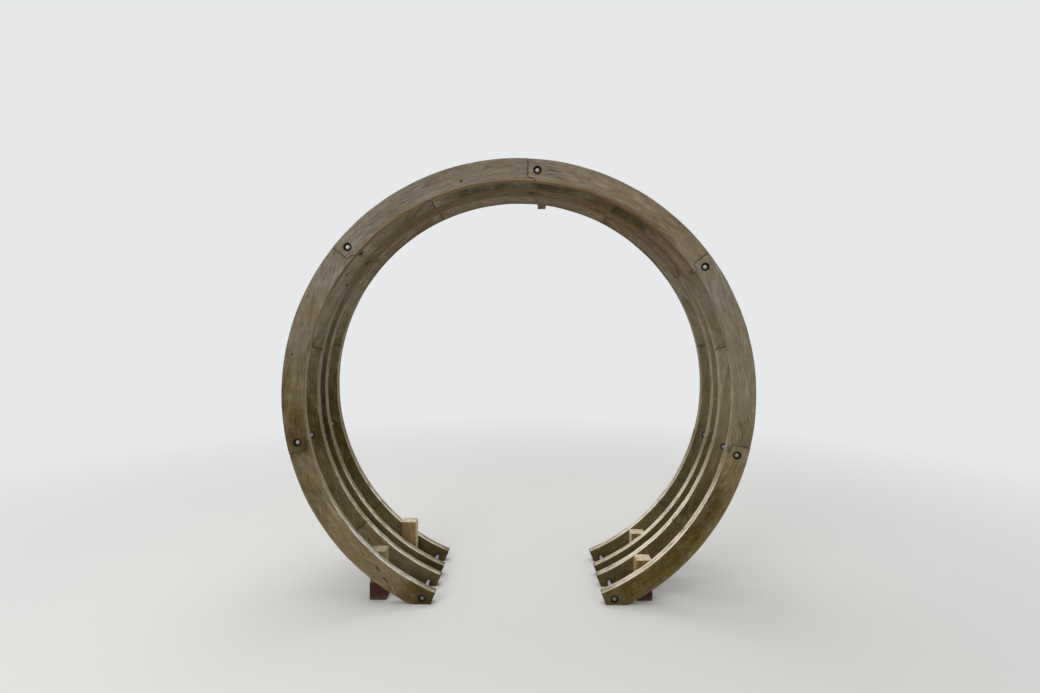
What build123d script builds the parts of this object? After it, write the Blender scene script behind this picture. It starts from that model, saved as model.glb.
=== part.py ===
from build123d import *
import math
import os

# Moon gate: four round timber rings, stood one behind another and tied together by
# threaded rods, open at the foot so that people walk through.  Each ring is two layers of
# curved boards with staggered joints.  Four short posts in steel sockets stand in the two
# outer bays.  Millimetres and degrees.  +Z is up, the front faces -Y, and the origin is at
# floor level in the middle.  Angles round a ring are taken from the crown, positive to the
# right.

# Rings
opening_radius = 1000.0
ring_width = 100.0
board_thickness = 22.5
foot_gap = 782.0
end_height = 54.5
outer_bay = 150.0
middle_bay = 75.0

# Joints between the boards of one layer.  Only the joints beside a bolt have a tongue.
joint_gap = 0.8
joint_to_bolt = 44.0
tongue_length = 35.0
tongue_depth = 13.0

# Bolt stations
crown_bolt_angle = 4.8
end_bolt_inset = 47.0
bolt_edge_distance = 50.0
rod_diameter = 10.0
rod_clearance = 1.0
rod_end_length = 2.0
recess_diameter = 37.0
recess_depth = 14.0
nut_across_flats = 16.0
nut_height = 10.0
nut_clearance = 0.5

# Spacer tubes between the rings
tube_diameter = 17.2
tube_wall = 2.3

# Block under the crown of the last ring
block_angle = 7.1
block_length = 41.0
block_drop = 20.0

# Posts and their sockets, each post as far beyond the end of a ring as its offset
post_size = 75.0
post_arris = 2.0
front_left_offset = 281.0
front_left_top = 235.0
front_right_offset = 209.0
front_right_top = 195.0
rear_left_offset = 206.0
rear_left_top = 245.0
rear_right_offset = 254.0
rear_right_top = 185.0
socket_wall = 2.5
socket_clearance = 0.5
socket_base = 3.0
socket_height = 80.0
bead_width = 6.0
bead_depth = 1.2
bead_spacing = 25.0
bead_margin = 8.0

# Values that follow from the sizes above.  The inner corners of the ring ends stand half the
# foot gap from the middle, at the end height, which settles how high the ring centre is and
# where a ring ends.
foot_side = foot_gap / 2
ring_centre_height = end_height + math.sqrt(opening_radius**2 - foot_side**2)
ring_end_angle = 180 - math.degrees(math.asin(foot_side / opening_radius))
outer_radius = opening_radius + ring_width
ring_thickness = 2 * board_thickness
depth = 4 * ring_thickness + 2 * outer_bay + middle_bay
front_y = -depth / 2
ring_fronts = [
    front_y,
    front_y + ring_thickness + outer_bay,
    front_y + 2 * ring_thickness + outer_bay + middle_bay,
    front_y + 3 * ring_thickness + 2 * outer_bay + middle_bay,
]
bolt_radius = opening_radius + bolt_edge_distance
hole_diameter = rod_diameter + rod_clearance

# Seven bolt stations: one near each end, one near the crown, two evenly between on each side
end_bolt_angle = ring_end_angle - math.degrees(end_bolt_inset / bolt_radius)
left_step = (end_bolt_angle + crown_bolt_angle) / 3
right_step = (end_bolt_angle - crown_bolt_angle) / 3
bolt_angles = [crown_bolt_angle + left_step * k for k in (-3, -2, -1)]
bolt_angles += [crown_bolt_angle]
bolt_angles += [crown_bolt_angle + right_step * k for k in (1, 2, 3)]

# Outer layers are jointed just left of a bolt, inner layers halfway between those joints
joint_shift = math.degrees(joint_to_bolt / bolt_radius)
bolted_joints = [-ring_end_angle]
bolted_joints += [a - joint_shift for a in bolt_angles[1:-1]]
bolted_joints += [ring_end_angle]
staggered_joints = [-ring_end_angle]
staggered_joints += [(a + b) / 2 for a, b in zip(bolted_joints, bolted_joints[1:])]
staggered_joints += [ring_end_angle]


def on_ring(radius, angle):
    """Point at a radius and an angle from the crown, in the plane of a ring."""
    a = math.radians(angle)
    return (radius * math.sin(a), radius * math.cos(a))


def arc(radius, start, end):
    """Arc about the ring centre between two angles from the crown."""
    return ThreePointArc(
        on_ring(radius, start), on_ring(radius, (start + end) / 2), on_ring(radius, end)
    )


def bore(diameter):
    """Outline of a hidden bore.  It has six flats, which keeps the many bores light."""
    return RegularPolygon(diameter / 2, 6, major_radius=False)


def bar(diameter):
    """Outline of a slender round bar or recess, drawn with twelve flats."""
    return RegularPolygon(diameter / 2, 12, major_radius=False)


def board_outline(start, end, tongued):
    """Curved board.  A tongue at its right end lies under the next board's stepped heel."""
    half_gap = math.degrees(joint_gap / 2 / opening_radius)
    tongue = math.degrees(tongue_length / opening_radius)
    step_radius = opening_radius + tongue_depth
    at_left_end = start <= -ring_end_angle
    at_right_end = end >= ring_end_angle
    left = start if at_left_end else start + half_gap
    right = end if at_right_end else end - half_gap
    heel = left + tongue if tongued and not at_left_end else left
    toe = right + tongue if tongued and not at_right_end else right
    heel_radius = step_radius + joint_gap / 2
    toe_radius = step_radius - joint_gap / 2
    edges = [arc(outer_radius, left, right)]
    if toe == right:
        edges += [Line(on_ring(outer_radius, right), on_ring(opening_radius, right))]
    else:
        edges += [Line(on_ring(outer_radius, right), on_ring(toe_radius, right))]
        edges += [arc(toe_radius, right, toe)]
        edges += [Line(on_ring(toe_radius, toe), on_ring(opening_radius, toe))]
    edges += [arc(opening_radius, toe, heel)]
    if heel == left:
        edges += [Line(on_ring(opening_radius, left), on_ring(outer_radius, left))]
    else:
        edges += [Line(on_ring(opening_radius, heel), on_ring(heel_radius, heel))]
        edges += [arc(heel_radius, heel, left)]
        edges += [Line(on_ring(heel_radius, left), on_ring(outer_radius, left))]
    return make_face(edges)


def stand_up(shape, back_y):
    """Turn a shape drawn flat about the ring centre upright, its underside at back_y."""
    return Pos(0, back_y, ring_centre_height) * Rot(90, 0, 0) * shape


def at_bolt(section, angle, y_front, length):
    """Section extruded along the rod of one bolt station."""
    x, z = on_ring(bolt_radius, angle)
    return stand_up(Pos(x, z, 0) * extrude(section, amount=length), y_front + length)


def board(start, end, y_front, tongued, recess_side):
    """One board of a layer, cut level at the floor and bored for the rods it carries."""
    face = board_outline(start, end, tongued)
    below = Rectangle(2 * outer_radius, outer_radius, align=(Align.CENTER, Align.MAX))
    face -= Pos(0, -ring_centre_height) * below
    bolts = [a for a in bolt_angles if start < a < end]
    for a in bolts:
        x, z = on_ring(bolt_radius, a)
        face -= Pos(x, z) * bore(hole_diameter)
    body = extrude(face, amount=board_thickness)
    if recess_side:
        floor = board_thickness - recess_depth if recess_side == "front" else 0
        for a in bolts:
            x, z = on_ring(bolt_radius, a)
            recess = extrude(bar(recess_diameter), amount=recess_depth)
            body -= Pos(x, z, floor) * recess
    return stand_up(body, y_front + board_thickness)


def write(node, shapes):
    """Write one node, whose solids stand clear of each other."""
    solids = [s for shape in shapes for s in shape.solids()]
    export_step(Compound(children=solids) if len(solids) > 1 else solids[0], f"parts/{node}.step")


# Rings.  The pairs are mirrored front to back: in rings 1 and 3 the bolted layer is in
# front, in rings 2 and 4 it is behind.  Boards of a layer alternate between two nodes.
for ring, ring_front in enumerate(ring_fronts, start=1):
    bolted_in_front = ring in (1, 3)
    for layer in ("front", "rear"):
        bolted = bolted_in_front == (layer == "front")
        joints = bolted_joints if bolted else staggered_joints
        y_front = ring_front if layer == "front" else ring_front + board_thickness
        outermost = (ring, layer) in ((1, "front"), (4, "rear"))
        boards = [
            board(a, b, y_front, bolted, layer if outermost else None)
            for a, b in zip(joints, joints[1:])
        ]
        write(f"ring{ring}_{layer}_boards_a", boards[0::2])
        write(f"ring{ring}_{layer}_boards_b", boards[1::2])

# Tie rods, each from just beyond the nut in the front recess to just beyond the rear nut
rod_front = front_y + recess_depth - nut_height - rod_end_length
rod_section = bar(rod_diameter)
for number, angle in enumerate(bolt_angles, start=1):
    write(f"tie_rod_{number}", [at_bolt(rod_section, angle, rod_front, -2 * rod_front)])

# Nuts, seated on the floors of the recesses in the first and last ring
nut_section = RegularPolygon(nut_across_flats / 2, 6, major_radius=False)
nut_section -= bore(rod_diameter + nut_clearance)
front_nut_y = front_y + recess_depth - nut_height
rear_nut_y = -front_y - recess_depth
write("nuts_front", [at_bolt(nut_section, a, front_nut_y, nut_height) for a in bolt_angles])
write("nuts_rear", [at_bolt(nut_section, a, rear_nut_y, nut_height) for a in bolt_angles])

# Spacer tubes on the rods, from ring to ring in each bay
tube_section = bar(tube_diameter) - bore(tube_diameter - 2 * tube_wall)
for bay, ring_front in zip(("front", "middle", "rear"), ring_fronts):
    bay_front = ring_front + ring_thickness
    bay_depth = middle_bay if bay == "middle" else outer_bay
    tubes = [at_bolt(tube_section, a, bay_front, bay_depth) for a in bolt_angles]
    write(f"spacer_tubes_{bay}", tubes)

# Block that hangs from the inner edge of the last ring, its top cut to the ring's curve
block_bottom = opening_radius - block_drop
block_blank = Pos(0, block_bottom) * Rectangle(
    block_length, 2 * block_drop, align=(Align.CENTER, Align.MIN)
)
block_face = Rot(0, 0, -block_angle) * (block_blank & Circle(opening_radius))
crown_block = extrude(block_face, amount=ring_thickness)
write("crown_block", [stand_up(crown_block, ring_fronts[3] + ring_thickness)])

# Posts in their sockets.  The sockets stand against the inner face of the outer rings.
socket_bore = post_size + 2 * socket_clearance
socket_size = socket_bore + 2 * socket_wall


def socket():
    """Square steel socket with a floor and two pressed beads down each side."""
    body = extrude(Rectangle(socket_size, socket_size), amount=socket_height)
    body -= Pos(0, 0, socket_base) * extrude(Rectangle(socket_bore, socket_bore), amount=socket_height)
    bead = extrude(Rectangle(bead_width, 2 * bead_depth), amount=socket_height - 2 * bead_margin)
    for turn in range(4):
        for side in (-1, 1):
            at = Pos(side * bead_spacing / 2, -socket_size / 2, bead_margin)
            body -= Rot(0, 0, 90 * turn) * at * bead
    return body


def post(top):
    """Sawn post that stands on the socket's floor, its top cut square."""
    body = extrude(Rectangle(post_size, post_size), amount=top - socket_base)
    body = chamfer(body.edges().filter_by(Axis.Z), post_arris)
    body = chamfer(body.faces().sort_by(Axis.Z)[-1].edges(), post_arris)
    return Pos(0, 0, socket_base) * body


front_post_y = ring_fronts[0] + ring_thickness + socket_size / 2
rear_post_y = ring_fronts[3] - socket_size / 2
for name, side, offset, y, top in (
    ("front_left", -1, front_left_offset, front_post_y, front_left_top),
    ("front_right", 1, front_right_offset, front_post_y, front_right_top),
    ("rear_left", -1, rear_left_offset, rear_post_y, rear_left_top),
    ("rear_right", 1, rear_right_offset, rear_post_y, rear_right_top),
):
    x = side * (foot_side + offset)
    write(f"post_{name}", [Pos(x, y, 0) * post(top)])
    write(f"socket_{name}", [Pos(x, y, 0) * socket()])
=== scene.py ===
"""Looks of the moon gate: weathered ring boards, posts, sockets and bolt fittings.

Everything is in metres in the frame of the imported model: +Z up, the front faces -Y.
Angles round a ring are in degrees from the crown, positive to the right.
"""

import math
import random

import bmesh
import bpy
from mathutils import Matrix, Vector, noise


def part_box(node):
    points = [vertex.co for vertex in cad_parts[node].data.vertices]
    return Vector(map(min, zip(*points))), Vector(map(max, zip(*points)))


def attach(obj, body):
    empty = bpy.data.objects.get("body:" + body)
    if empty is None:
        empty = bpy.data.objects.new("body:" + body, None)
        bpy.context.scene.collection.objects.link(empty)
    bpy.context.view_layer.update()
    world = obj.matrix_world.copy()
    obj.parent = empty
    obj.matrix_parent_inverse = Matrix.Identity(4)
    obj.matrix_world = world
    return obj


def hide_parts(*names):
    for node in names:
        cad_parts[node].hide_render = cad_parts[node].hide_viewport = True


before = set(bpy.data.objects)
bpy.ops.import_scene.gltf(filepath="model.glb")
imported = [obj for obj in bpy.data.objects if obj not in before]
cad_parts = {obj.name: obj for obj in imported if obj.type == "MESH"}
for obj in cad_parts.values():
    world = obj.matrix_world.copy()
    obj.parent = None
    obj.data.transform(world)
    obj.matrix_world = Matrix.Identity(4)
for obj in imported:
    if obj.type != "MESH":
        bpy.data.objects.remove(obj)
# Without a seed, noise_vector gives other values in each session
SEED = 8018
noise.seed_set(SEED)


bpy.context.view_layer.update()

# Sizes shared with the CAD source
OPENING_RADIUS = 1.0
RING_WIDTH = 0.1
FOOT_SIDE = 0.391
END_HEIGHT = 0.0545
JOINT_GAP = 0.0008
JOINT_TO_BOLT = 0.044
TONGUE_LENGTH = 0.035
TONGUE_DEPTH = 0.013
CROWN_BOLT = 4.8
END_BOLT_INSET = 0.047
BOLT_RADIUS = 1.05
RECESS_RADIUS = 0.0185
RECESS_DEPTH = 0.014
NUT_FLATS = 0.016
ROD_RADIUS = 0.005
TUBE_RADIUS = 0.0086
TUBE_BORE = 0.0063

OUTER_RADIUS = OPENING_RADIUS + RING_WIDTH
CENTRE_Z = END_HEIGHT + math.sqrt(OPENING_RADIUS**2 - FOOT_SIDE**2)
END_ANGLE = 180 - math.degrees(math.asin(FOOT_SIDE / OPENING_RADIUS))

end_bolt = END_ANGLE - math.degrees(END_BOLT_INSET / BOLT_RADIUS)
left_step = (end_bolt + CROWN_BOLT) / 3
right_step = (end_bolt - CROWN_BOLT) / 3
BOLTS = [CROWN_BOLT + left_step * k for k in (-3, -2, -1, 0)]
BOLTS += [CROWN_BOLT + right_step * k for k in (1, 2, 3)]
joint_shift = math.degrees(JOINT_TO_BOLT / BOLT_RADIUS)
BOLTED_JOINTS = [-END_ANGLE] + [a - joint_shift for a in BOLTS[1:-1]] + [END_ANGLE]
MIDWAY = [(a + b) / 2 for a, b in zip(BOLTED_JOINTS, BOLTED_JOINTS[1:])]
STAGGERED_JOINTS = [-END_ANGLE] + MIDWAY + [END_ANGLE]


def ring_point(radius, angle, y=0.0):
    """Point on a ring, at a radius and an angle from the crown."""
    a = math.radians(angle)
    return Vector((radius * math.sin(a), y, CENTRE_Z + radius * math.cos(a)))


# ---- materials -------------------------------------------------------------------------


def rgb(red, green, blue):
    """Screen colour (0 to 255) as a linear colour."""
    out = []
    for v in (red, green, blue):
        v /= 255
        out.append(v / 12.92 if v <= 0.04045 else ((v + 0.055) / 1.055) ** 2.4)
    return (*out, 1.0)


class Shader:
    """Small helper that builds one node material."""

    def __init__(self, name):
        self.material = bpy.data.materials.new(name)
        self.material.use_nodes = True
        self.tree = self.material.node_tree
        self.tree.nodes.clear()
        self.output = self.tree.nodes.new("ShaderNodeOutputMaterial")
        self.surface = self.tree.nodes.new("ShaderNodeBsdfPrincipled")
        self.link(self.surface.outputs[0], self.output.inputs["Surface"])

    def link(self, source, target):
        self.tree.links.new(source, target)

    def node(self, kind, **settings):
        made = self.tree.nodes.new("ShaderNode" + kind)
        for key, value in settings.items():
            setattr(made, key, value)
        return made

    def feed(self, socket, value):
        if isinstance(value, bpy.types.NodeSocket):
            self.link(value, socket)
        else:
            socket.default_value = value

    def attribute(self, name):
        return self.node("Attribute", attribute_name=name).outputs["Vector"]

    def math(self, operation, *values):
        made = self.node("Math", operation=operation)
        for socket, value in zip(made.inputs, values):
            self.feed(socket, value)
        return made.outputs[0]

    def times(self, first, *others):
        """Product of two or more values."""
        for other in others:
            first = self.math("MULTIPLY", first, other)
        return first

    def plus(self, first, second):
        return self.math("ADD", first, second)

    def minus(self, first, second):
        return self.math("SUBTRACT", first, second)

    def scaled(self, vector, scale):
        made = self.node("VectorMath", operation="MULTIPLY")
        self.feed(made.inputs[0], vector)
        made.inputs[1].default_value = scale
        return made.outputs[0]

    def offset(self, vector, centre):
        """Vector from a fixed point."""
        made = self.node("VectorMath", operation="SUBTRACT")
        self.link(vector, made.inputs[0])
        made.inputs[1].default_value = centre
        return made.outputs[0]

    def length(self, vector):
        made = self.node("VectorMath", operation="LENGTH")
        self.link(vector, made.inputs[0])
        return made.outputs["Value"]

    def separate(self, vector):
        made = self.node("SeparateXYZ")
        self.link(vector, made.inputs[0])
        return made.outputs

    def combine(self, x, y, z):
        made = self.node("CombineXYZ")
        for socket, value in zip(made.inputs, (x, y, z)):
            self.feed(socket, value)
        return made.outputs[0]

    def noise(self, vector, scale, detail, roughness=0.5):
        made = self.node("TexNoise")
        self.link(vector, made.inputs["Vector"])
        made.inputs["Scale"].default_value = scale
        made.inputs["Detail"].default_value = detail
        made.inputs["Roughness"].default_value = roughness
        return made.outputs["Fac"]

    def drawn(self, vector, scales, detail, roughness=0.5):
        """Noise with a scale of its own along each axis."""
        return self.noise(self.scaled(vector, scales), 1.0, detail, roughness)

    def swing(self, noise, width):
        """Noise as a value that swings about zero."""
        return self.times(self.minus(noise, 0.5), width)

    def span(self, value, low, high, to_low=0.0, to_high=1.0, smooth=True):
        """Value mapped from one range to another, held at the ends."""
        made = self.node("MapRange", interpolation_type="SMOOTHSTEP" if smooth else "LINEAR")
        made.clamp = True
        for socket, item in zip(made.inputs, (value, low, high, to_low, to_high)):
            self.feed(socket, item)
        return made.outputs[0]

    def mix(self, factor, first, second, blend="MIX"):
        made = self.node("Mix", data_type="RGBA", blend_type=blend, clamp_factor=True)
        self.feed(made.inputs[0], factor)
        self.feed(made.inputs[6], first)
        self.feed(made.inputs[7], second)
        return made.outputs[2]

    def bump(self, height, distance, strength):
        made = self.node("Bump")
        made.inputs["Strength"].default_value = strength
        made.inputs["Distance"].default_value = distance
        self.link(height, made.inputs["Height"])
        self.link(made.outputs[0], self.surface.inputs["Normal"])

    def finish(self, colour, roughness, metallic=0.0, specular=0.5):
        self.feed(self.surface.inputs["Base Color"], colour)
        self.feed(self.surface.inputs["Roughness"], roughness)
        self.feed(self.surface.inputs["Metallic"], metallic)
        self.surface.inputs["Specular IOR Level"].default_value = specular
        return self.material


# How deep a mark goes, and how ragged its rim is for its length
MARK_DEPTH = 0.02
MARK_RAGGED = 3000

# Colours of the marks on timber
FADED_LEFT = rgb(134, 116, 106)
FADED_RIGHT = rgb(138, 112, 82)
# Painted sky light on upward faces at the front left
PAINTED_SKYLIGHT_SILVER = rgb(206, 203, 198)
PAINTED_SKYLIGHT_FLAKE = rgb(226, 223, 218)
WARM_FLAKE = rgb(232, 218, 194)
TAN = rgb(176, 154, 118)
UNDERSIDE = rgb(112, 84, 48)
FRONT_LEFT_DARK = rgb(136, 122, 80)
ALGAE_DARK = rgb(92, 88, 40)
ALGAE_LIGHT = rgb(116, 108, 60)
ALGAE_BROWN = rgb(78, 62, 38)
# Tints of the painted shade, with some damp darkening, low down and at the crown
DAMP_AND_SHADE_LOW = rgb(174, 160, 108)
DAMP_AND_SHADE_HIGH = rgb(164, 162, 140)
RUN_MARK = rgb(54, 45, 28)
RUBBED_LEFT = rgb(142, 116, 76)
RUBBED_RIGHT = rgb(106, 76, 42)
OUTER_ARRIS_HIGHLIGHT = rgb(152, 122, 84)
DAMP = rgb(74, 60, 32)
SEAM_DIRT = rgb(66, 56, 40)
CRACK = rgb(48, 40, 30)
KNOT = rgb(64, 46, 32)
HOLE = rgb(54, 38, 26)
RECESS_DIRT_AND_SHADE = rgb(44, 34, 30)


def spot(s, position, centre, slope, half_length, half_width):
    """Oval mark on a front face: 0 in its middle, 1 at its rim. The slope is in degrees from +X."""
    turn = s.node("VectorRotate", rotation_type="Y_AXIS")
    s.link(s.offset(position, centre), turn.inputs["Vector"])
    turn.inputs["Angle"].default_value = math.radians(slope)
    shape = (1 / half_length, 1 / MARK_DEPTH, 1 / half_width)
    return s.length(s.scaled(turn.outputs[0], shape))


def timber(name, tones, end_dark, side_bleach=0.0, marks=(), swirls=()):
    """Weathered softwood that follows the grain frame stored on each board."""
    grey, brown, dark, bleached, warm, green = tones
    s = Shader(name)
    grain = s.attribute("grain")
    tone, end, from_seam = s.separate(s.attribute("info"))
    seam = s.math("ABSOLUTE", from_seam)
    rear_layer = s.span(from_seam, -0.0012, -0.0002, 1.0, 0.0)
    algae, bolt_distance, shade = s.separate(s.attribute("weather_and_shade"))
    geometry = s.node("NewGeometry")
    position = geometry.outputs["Position"]
    normal = s.separate(geometry.outputs["Normal"])
    x, y, z = s.separate(position)
    along, across, through = s.separate(grain)

    speck = s.noise(position, 95.0, 4.0, 0.7)

    # Knots run through the thickness, and the growth lines swell round them
    flat = s.combine(along, across, 0.0)
    knots = s.node("TexVoronoi", voronoi_dimensions="2D", feature="F1")
    s.link(flat, knots.inputs["Vector"])
    knots.inputs["Scale"].default_value = 3.1
    knot_pick = s.separate(knots.outputs["Color"])[0]
    knot_size = s.span(knot_pick, 0.5, 1.0, 0.0, 0.036, smooth=False)
    knot_far = knots.outputs["Distance"]
    knot = s.span(s.minus(knot_size, knot_far), 0.0, 0.01)
    halo = s.span(s.minus(knot_far, knot_size), 0.0, 0.09, 1.0, 0.0)
    swell = s.times(halo, s.span(knot_size, 0.0, 0.03), 0.016)
    marked = []
    for mark in marks:
        far = spot(s, position, *mark)
        ragged = s.plus(far, s.swing(speck, MARK_RAGGED * mark[2] ** 2))
        marked.append(s.span(ragged, 0.5, 1.25, 1.0, 0.0))
        swell = s.plus(swell, s.span(far, 0.8, 5.0, 0.014, 0.0))
    for swirl in swirls:
        swell = s.plus(swell, s.span(spot(s, position, *swirl), 0.0, 2.6, 0.03, 0.0))

    # Growth lines about a pith outside the board
    reach = s.math("SQRT", s.plus(s.math("POWER", across, 2.0), s.math("POWER", through, 2.0)))
    drift = s.drawn(grain, (1.3, 6.0, 6.0), 3.0)
    ripple = s.drawn(grain, (6.0, 55.0, 55.0), 2.0)
    reach = s.plus(reach, s.swing(drift, 0.03))
    reach = s.plus(reach, s.swing(ripple, 0.004))
    reach = s.plus(reach, swell)
    phase = s.math("FRACT", s.times(reach, 230.0))
    late = s.times(s.span(phase, 0.4, 0.88), s.span(phase, 0.88, 1.0, 1.0, 0.0))

    # Streaks, fibres and drying cracks drawn out along the grain, and blotches of weather
    bent = s.combine(along, s.plus(across, swell), through)
    streak = s.drawn(bent, (2.4, 75.0, 75.0), 5.0, 0.65)
    fibre = s.drawn(bent, (16.0, 520.0, 520.0), 2.0, 0.6)
    blotch = s.drawn(grain, (4.0, 11.0, 11.0), 4.0, 0.6)
    cloud = s.noise(position, 4.5, 4.0, 0.6)
    mottle = s.drawn(bent, (12.0, 40.0, 40.0), 5.0, 0.68)
    warmer = s.noise(position, 17.0, 5.0, 0.7)
    split = s.drawn(bent, (3.2, 105.0, 105.0), 1.0)
    split = s.span(s.math("ABSOLUTE", s.minus(split, 0.5)), 0.0, 0.014, 1.0, 0.0)
    split = s.times(split, s.span(blotch, 0.48, 0.6))

    # Body colour: brown low down, greyer and paler above
    height = s.span(z, 0.15, 1.5)
    body = s.mix(height, brown, grey)
    body = s.mix(s.span(cloud, 0.4, 0.68, 0.0, 0.6), body, s.mix(height, grey, brown))
    high = s.span(z, 1.3, 1.9)
    below = s.minus(1.0, high)
    body = s.mix(s.times(s.span(blotch, 0.42, 0.7, 0.0, 0.4), below), body, green)
    faded = s.mix(s.span(x, 0.1, 0.4), FADED_LEFT, FADED_RIGHT)
    body = s.mix(s.times(high, 0.45), body, faded)
    body = s.mix(s.span(streak, 0.3, 0.52, 0.26, 0.0), body, dark)
    body = s.mix(s.span(streak, 0.56, 0.76, 0.0, 0.2), body, bleached)
    body = s.mix(s.span(mottle, 0.36, 0.5, 0.3, 0.0), body, dark)
    body = s.mix(s.span(mottle, 0.52, 0.66, 0.0, 0.2), body, bleached)
    body = s.mix(s.span(warmer, 0.55, 0.68, 0.0, 0.4), body, warm)
    body = s.mix(s.times(late, 0.17), body, dark)
    body = s.mix(s.span(fibre, 0.35, 0.62, 0.36, 0.0), body, dark)
    body = s.mix(s.span(fibre, 0.55, 0.75, 0.0, 0.22), body, bleached)
    body = s.mix(s.span(speck, 0.62, 0.72, 0.0, 0.35), body, end_dark)

    # Upward faces bleach silver in broken patches; at the front left a cooler, paler tint is
    # painted sky light
    upward = s.span(normal[2], 0.26, 0.6)
    flaking = s.drawn(grain, (14.0, 30.0, 30.0), 5.0, 0.7)
    flaked = s.minus(flaking, s.span(x, -0.3, 0.2, 0.045, 0.0))
    flaked = s.minus(flaked, s.times(rear_layer, s.span(x, -0.3, 0.2, 0.08, 0.0)))
    painted_skylight = s.times(s.span(x, -0.3, 0.1, 1.0, 0.0), s.span(y, -0.22, -0.1, 1.0, 0.3))
    painted_skylight = s.times(painted_skylight, s.span(z, 0.08, 0.2, 0.35, 0.9), s.span(z, 0.31, 0.4, 1.0, 0.3))
    upper_left = s.times(s.span(x, -0.6, -0.4, 1.0, 0.0), s.span(z, 0.33, 0.45))
    flaked = s.minus(flaked, s.times(upper_left, 0.05))
    flaked = s.plus(flaked, s.times(painted_skylight, 0.04))
    whole, broken = s.mix(0.35, grey, brown), s.mix(painted_skylight, bleached, PAINTED_SKYLIGHT_SILVER)
    silver = s.mix(s.span(flaked, 0.33, 0.48), whole, broken)
    flake = s.mix(painted_skylight, WARM_FLAKE, PAINTED_SKYLIGHT_FLAKE)
    silver = s.mix(s.span(flaked, 0.46, 0.6, 0.0, 0.8), silver, flake)
    silver = s.mix(s.span(cloud, 0.5, 0.64, 0.0, 0.28), silver, TAN)
    silver = s.mix(s.span(streak, 0.32, 0.5, 0.36, 0.0), silver, dark)
    silver = s.mix(s.span(fibre, 0.35, 0.6, 0.16, 0.0), silver, dark)
    greened = s.times(rear_layer, s.span(x, -0.3, 0.2, 0.45, 0.03))
    silver = s.mix(greened, silver, green)
    tip = s.times(s.span(z, 0.04, 0.34, 0.1, 0.0), s.span(x, -0.6, -0.1, 1.0, 0.0))
    silver = s.mix(tip, silver, brown)
    silver = s.mix(s.span(z, 0.95, 1.3, 0.0, 0.6), silver, s.mix(0.5, grey, dark))
    body = s.mix(s.times(upward, s.span(blotch, 0.3, 0.6, 0.85, 1.0)), body, silver)

    # Downward faces stay warm
    downward = s.span(normal[2], -0.7, -0.25, 1.0, 0.0)
    downward = s.times(downward, s.span(blotch, 0.3, 0.6, 0.85, 1.0))
    under = s.mix(s.span(streak, 0.3, 0.6, 0.5, 0.0), UNDERSIDE, dark)
    body = s.mix(downward, body, under)

    # Posts bleach on the side that faces the opening, and are darker at the front left
    if side_bleach:
        toward = s.span(s.times(x, normal[0]), -0.5, -0.2, side_bleach, 0.0)
        # Painted shade holds the bleaching back
        toward = s.times(toward, s.span(shade, 0.0, 1.0, 1.0, 0.0, smooth=False))
        pale = s.mix(s.span(fibre, 0.3, 0.6, 0.3, 0.0), bleached, brown)
        body = s.mix(toward, body, pale)
        front_left_darkening = s.times(s.span(x, -0.2, 0.0, 0.7, 0.0), s.span(y, -0.1, 0.0, 1.0, 0.0))
        front_left_tone = s.mix(s.span(streak, 0.4, 0.56, 0.6, 0.0), FRONT_LEFT_DARK, dark)
        body = s.mix(front_left_darkening, body, front_left_tone)

    # Green-brown algae on the faces that look forwards and back
    side_on = s.span(s.math("ABSOLUTE", normal[1]), 0.5, 0.85)
    patches = s.noise(position, 9.0, 5.0, 0.68)
    amount = s.times(algae, side_on, s.span(z, 0.3, 1.5, 1.0, 0.3))
    amount = s.times(amount, s.span(patches, 0.3, 0.6, 0.65, 1.0))
    film = s.mix(s.span(speck, 0.4, 0.65), ALGAE_DARK, ALGAE_LIGHT)
    film = s.mix(s.span(fibre, 0.35, 0.65, 0.36, 0.0), film, end_dark)
    film = s.mix(s.span(streak, 0.36, 0.56, 0.5, 0.0), film, ALGAE_BROWN)
    film = s.mix(s.span(mottle, 0.52, 0.68, 0.0, 0.3), film, green)
    film = s.mix(s.times(late, 0.3), film, end_dark)
    body = s.mix(amount, body, film)

    # Painted shade, with some damp darkening, makes the timber darker and yellower; run marks low
    # down
    damp_and_painted_shade = s.times(shade, side_on, s.span(patches, 0.36, 0.6, 0.6, 1.1))
    tint = s.mix(high, DAMP_AND_SHADE_LOW, DAMP_AND_SHADE_HIGH)
    body = s.mix(damp_and_painted_shade, body, s.mix(1.0, body, tint, "MULTIPLY"))
    runs = s.drawn(position, (36.0, 36.0, 3.5), 3.0, 0.6)
    runs = s.times(s.span(runs, 0.54, 0.72), s.times(shade, side_on), below)
    body = s.mix(s.times(runs, 0.6), body, RUN_MARK)

    # Beads of warm bare wood along the lower arris of the crown, and a painted highlight along the
    # outer arris
    if marks:
        in_plane = s.scaled(position, (1.0, 0.0, 1.0))
        radius = s.length(s.offset(in_plane, (0.0, 0.0, CENTRE_Z)))
        inner = s.minus(radius, OPENING_RADIUS)
        rubbed_width = s.span(x, 0.15, 0.4, 0.011, 0.019)
        rubbed = s.times(s.span(inner, 0.003, rubbed_width, 0.75, 0.0), s.span(z, 1.5, 1.8))
        rubbed = s.times(rubbed, s.span(blotch, 0.38, 0.52, 0.35, 1.0))
        rubbed = s.times(rubbed, s.span(y, -0.25, -0.2, 1.0, 0.2))
        body = s.mix(rubbed, body, s.mix(s.span(x, 0.1, 0.35), RUBBED_LEFT, RUBBED_RIGHT))
        # Painted highlight along the outer arris, low down and strongest on the left
        outer = s.times(s.span(inner, RING_WIDTH - 0.012, RING_WIDTH - 0.003), side_on)
        outer = s.times(outer, s.span(z, 0.45, 0.75, 1.0, 0.0))
        outer = s.times(outer, s.span(x, -0.5, -0.2, 0.5, 0.15))
        body = s.mix(outer, body, OUTER_ARRIS_HIGHLIGHT)

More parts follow.
